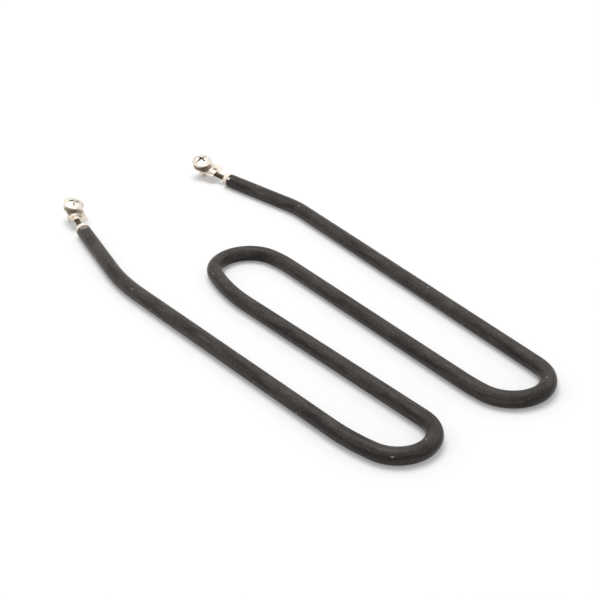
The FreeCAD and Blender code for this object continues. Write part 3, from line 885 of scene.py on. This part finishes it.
def build_screw(number, place, finish):
    """The binding screw: rolled thread, truss head, slot and cross recess."""
    axis = straight_path("screw axis", (0, 0, -SCREW_LENGTH), (0, 0, HEAD_HEIGHT))
    screw = round_body(f"binding_screw_{number}", screw_stations(), axis, finish, sides=72,
                       pitch=THREAD_PITCH)
    bpy.data.objects.remove(axis)
    above = HEAD_HEIGHT + 1 * MM
    slot = [(x * HEAD_RADIUS * 1.2, y * SLOT_WIDTH / 2) for x, y in ((-1, -1), (1, -1), (1, 1), (-1, 1))]
    screw = cut(screw, extruded("slot", slot, HEAD_HEIGHT - SLOT_DEPTH, above))
    for quarter in range(2):
        wing = recess_wing()
        wing.data.transform(Matrix.Rotation(quarter * math.pi / 2, 4, "Z"))
        screw = cut(screw, wing)
    screw = soften(screw, 0.09 * MM, 2, 0.4)
    # Paint shade, with some grime, into the recess, the slot and under the head
    mark_shade_and_grime(screw.data)
    screw.data.materials.clear()
    screw.data.materials.append(finish)
    screw.data.transform(place)
    return screw


def mark_shade_and_grime(mesh):
    """Mark grime and painted shade on a screw: in the recess, faintly in the slot, and between head and lug,
    where shade falls.
    """
    dome = dome_radius()
    grime = mesh.attributes.new("grime", "FLOAT", "POINT")
    for vertex, mark in zip(mesh.vertices, grime.data):
        x, y, z = vertex.co
        way_out = math.hypot(x, y)
        dome_top = HEAD_HEIGHT - dome + math.sqrt(max(0.0, dome ** 2 - way_out ** 2))
        sunk = (dome_top - z) / (0.7 * SLOT_DEPTH)
        inside = (HEAD_RADIUS - 0.25 * MM - way_out) / (0.3 * MM)
        above = (z - 0.1 * MM) / (0.1 * MM)
        off_slot = (abs(y) - 0.3 * SLOT_WIDTH) / (0.5 * MM)
        mark.value = max(0.0, min(1.0, sunk, inside, above, max(off_slot, 0.35)))
        # Painted shade on the shank between head and lug
        if -SCREW_STANDOFF < z < 0.05 * MM:
            mark.value = 0.55


def recess_wing():
    """One tapered wing pair of the cross recess, as a closed block."""
    corners = []
    grow = (1 * MM) / RECESS_DEPTH
    for height, span, width in (
            (HEAD_HEIGHT - RECESS_DEPTH, RECESS_FLOOR_SPAN, RECESS_FLOOR_WIDTH),
            (HEAD_HEIGHT + 1 * MM, RECESS_SPAN + grow * (RECESS_SPAN - RECESS_FLOOR_SPAN),
             RECESS_WIDTH + grow * (RECESS_WIDTH - RECESS_FLOOR_WIDTH))):
        for x, y in ((-1, -1), (1, -1), (1, 1), (-1, 1)):
            corners.append((x * span / 2, y * width / 2, height))
    mesh = bpy.data.meshes.new("recess wing")
    faces = [(3, 2, 1, 0), (4, 5, 6, 7), (0, 1, 5, 4), (1, 2, 6, 5), (2, 3, 7, 6), (3, 0, 4, 7)]
    mesh.from_pydata(corners, [], faces)
    return new_object("recess wing", mesh)


# Build

finishes = {
    "sheath": oxide_finish(),
    "bushing": ceramic_finish(),
    "pin": pin_finish(),
    "lug": nickel_finish("nickel lug plate", LUG_NICKEL, DULL_LUG_NICKEL),
    "screw": nickel_finish("nickel screw plate", SCREW_NICKEL, DULL_SCREW_NICKEL),
    "magnesia": powder_finish(),
    "coil": wire_finish(),
}

steps = serpentine_steps()
legs_along_x = -mean_leg_heading(steps)
path, path_end, end_heading = bezier_path("sheath path", steps, legs_along_x)
bpy.context.view_layer.update()
drawn = path.to_mesh()
far_x = max(vertex.co.x for vertex in drawn.vertices) + SHEATH_RADIUS
low_y = min(vertex.co.y for vertex in drawn.vertices)
high_y = max(vertex.co.y for vertex in drawn.vertices)
path.to_mesh_clear()
box_low, box_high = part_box("sheath")
shift = Vector((box_high.x - far_x, (box_low.y + box_high.y - low_y - high_y) / 2, SHEATH_RADIUS))
path.data.transform(Matrix.Translation(shift))

sheath = build_sheath(path, path_length(steps), finishes["sheath"])
keep(sheath, "sheath")
keep(build_coil(path, path_length(steps), finishes["coil"]), "resistance_coil")

ends = {
    1: Matrix.Translation(shift) @ Matrix.Rotation(legs_along_x + math.pi, 4, "Z"),
    2: Matrix.Translation(shift + path_end) @ Matrix.Rotation(end_heading, 4, "Z"),
}
for number, at_end in ends.items():
    at_pin = at_end @ turned(PIN_TURNS[number], "X")
    knee = Matrix.Translation((BUSHING_HEIGHT + PIN_BEND_OFFSET + bend_tangent(number), 0, 0))
    at_lug = at_pin @ knee @ turned(-PIN_TILTS[number], "Y") @ turned(LUG_ROLLS[number], "X")
    head_rise = LUG_RISE + LUG_THICKNESS + SCREW_STANDOFF
    under_head = Matrix.Translation((LUG_GAP + SCREW_OFFSET, LUG_SHIFT, head_rise))
    at_screw = at_lug @ under_head @ turned(SCREW_TURNS[number], "Z")
    keep(build_bushing(number, at_end, finishes["bushing"]), f"insulating_bushing_{number}")
    keep(build_pin(number, at_pin, finishes["pin"]), f"cold_pin_{number}")
    keep(build_lug(number, at_lug, finishes["lug"]), f"terminal_lug_{number}")
    keep(build_screw(number, at_screw, finishes["screw"]), f"terminal_screw_{number}")
bpy.data.objects.remove(path)

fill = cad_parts["magnesia_fill"].data
fill.materials.clear()
fill.materials.append(finishes["magnesia"])


# Stage

def build_floor():
    """A wide pale floor that the camera sees as white, but for the object's shadow. Seen from below it is
    clear."""
    side = 3.0
    corners = [(-side, -side, 0), (side, -side, 0), (side, side, 0), (-side, side, 0)]
    mesh = bpy.data.meshes.new("floor")
    mesh.from_pydata(corners, [], [(0, 1, 2, 3)])
    floor = new_object("floor", mesh)
    finish = bpy.data.materials.new("white floor")
    finish.use_nodes = True
    board = Board(finish.node_tree)
    shader = finish.node_tree.nodes["Principled BSDF"]
    rays = board.add("ShaderNodeLightPath").outputs
    shown = board.math("MAXIMUM", rays["Is Camera Ray"], rays["Is Glossy Ray"])
    shown = board.math("MAXIMUM", shown, rays["Is Transmission Ray"])
    colour = blend_colours(board, shown, grey(0.4), grey(0.8))
    feed(board, shader, {"Base Color": colour, "Roughness": 1.0, "Specular IOR Level": 0.0})
    glow = board.add("ShaderNodeEmission", {"Color": grey(1.0), "Strength": 1.02})
    where = board.add("ShaderNodeTexCoord").outputs["Object"]
    way_off = board.add("ShaderNodeVectorMath", {0: where}, operation="LENGTH").outputs["Value"]
    share = board.math("MULTIPLY", rays["Is Camera Ray"], ramp(board, way_off, 0.3, 0.7, 0.18, 1.0))
    lifted = board.add("ShaderNodeMixShader", {0: share, 1: shader.outputs[0], 2: glow.outputs[0]})
    from_below = board.add("ShaderNodeNewGeometry").outputs["Backfacing"]
    from_below = board.math("MULTIPLY", from_below, rays["Is Camera Ray"])
    clear = board.add("ShaderNodeBsdfTransparent").outputs[0]
    floor_look = board.add("ShaderNodeMixShader", {0: from_below, 1: lifted.outputs[0], 2: clear})
    output = finish.node_tree.nodes["Material Output"]
    board.tree.links.new(floor_look.outputs[0], output.inputs["Surface"])
    mesh.materials.append(finish)


def build_world():
    """Plain sky light, a white background for the camera, and for what mirrors it a room that is bright
    overhead and darker low down."""
    world = bpy.data.worlds.new("studio")
    bpy.context.scene.world = world
    world.use_nodes = True
    board = Board(world.node_tree)
    backdrop = world.node_tree.nodes["Background"]
    rays = board.add("ShaderNodeLightPath").outputs
    back_along = board.add("ShaderNodeNewGeometry").outputs["Incoming"]
    downward = board.add("ShaderNodeSeparateXYZ", {0: back_along}).outputs["Z"]
    room = ramp(board, downward, -0.05, -0.35, 0.5, 1.05)
    sky = 0.8
    light = board.math("MULTIPLY_ADD", rays["Is Glossy Ray"], board.math("SUBTRACT", room, sky), sky)
    white = board.math("MAXIMUM", rays["Is Camera Ray"], rays["Is Transmission Ray"])
    board.tree.links.new(board.math("MAXIMUM", white, light), backdrop.inputs["Strength"])
    backdrop.inputs["Color"].default_value = grey(1.0)


def add_lamp(name, place, aim, size, power):
    light = bpy.data.lights.new(name, "AREA")
    light.shape = "SQUARE"
    light.size = size
    light.energy = power
    lamp = bpy.data.objects.new(name, light)
    bpy.context.scene.collection.objects.link(lamp)
    lamp.location = place
    lamp.rotation_euler = (Vector(aim) - Vector(place)).to_track_quat("-Z", "Y").to_euler()


def add_camera():
    """Put the camera at the photograph's viewpoint."""
    lens = bpy.data.cameras.new("camera")
    lens.sensor_width = CAMERA_SENSOR
    lens.lens = CAMERA_LENS
    lens.clip_start = 0.01
    camera = bpy.data.objects.new("camera", lens)
    bpy.context.scene.collection.objects.link(camera)
    camera.location = CAMERA_PLACE
    camera.rotation_euler = [math.radians(angle) for angle in CAMERA_TURN]
    bpy.context.scene.camera = camera


build_floor()
build_world()
add_lamp("key", (-0.3, 0.05, 1.4), (0, 0, 0), 0.85, 12.0)
add_camera()
bpy.context.scene.view_settings.view_transform = "Standard"
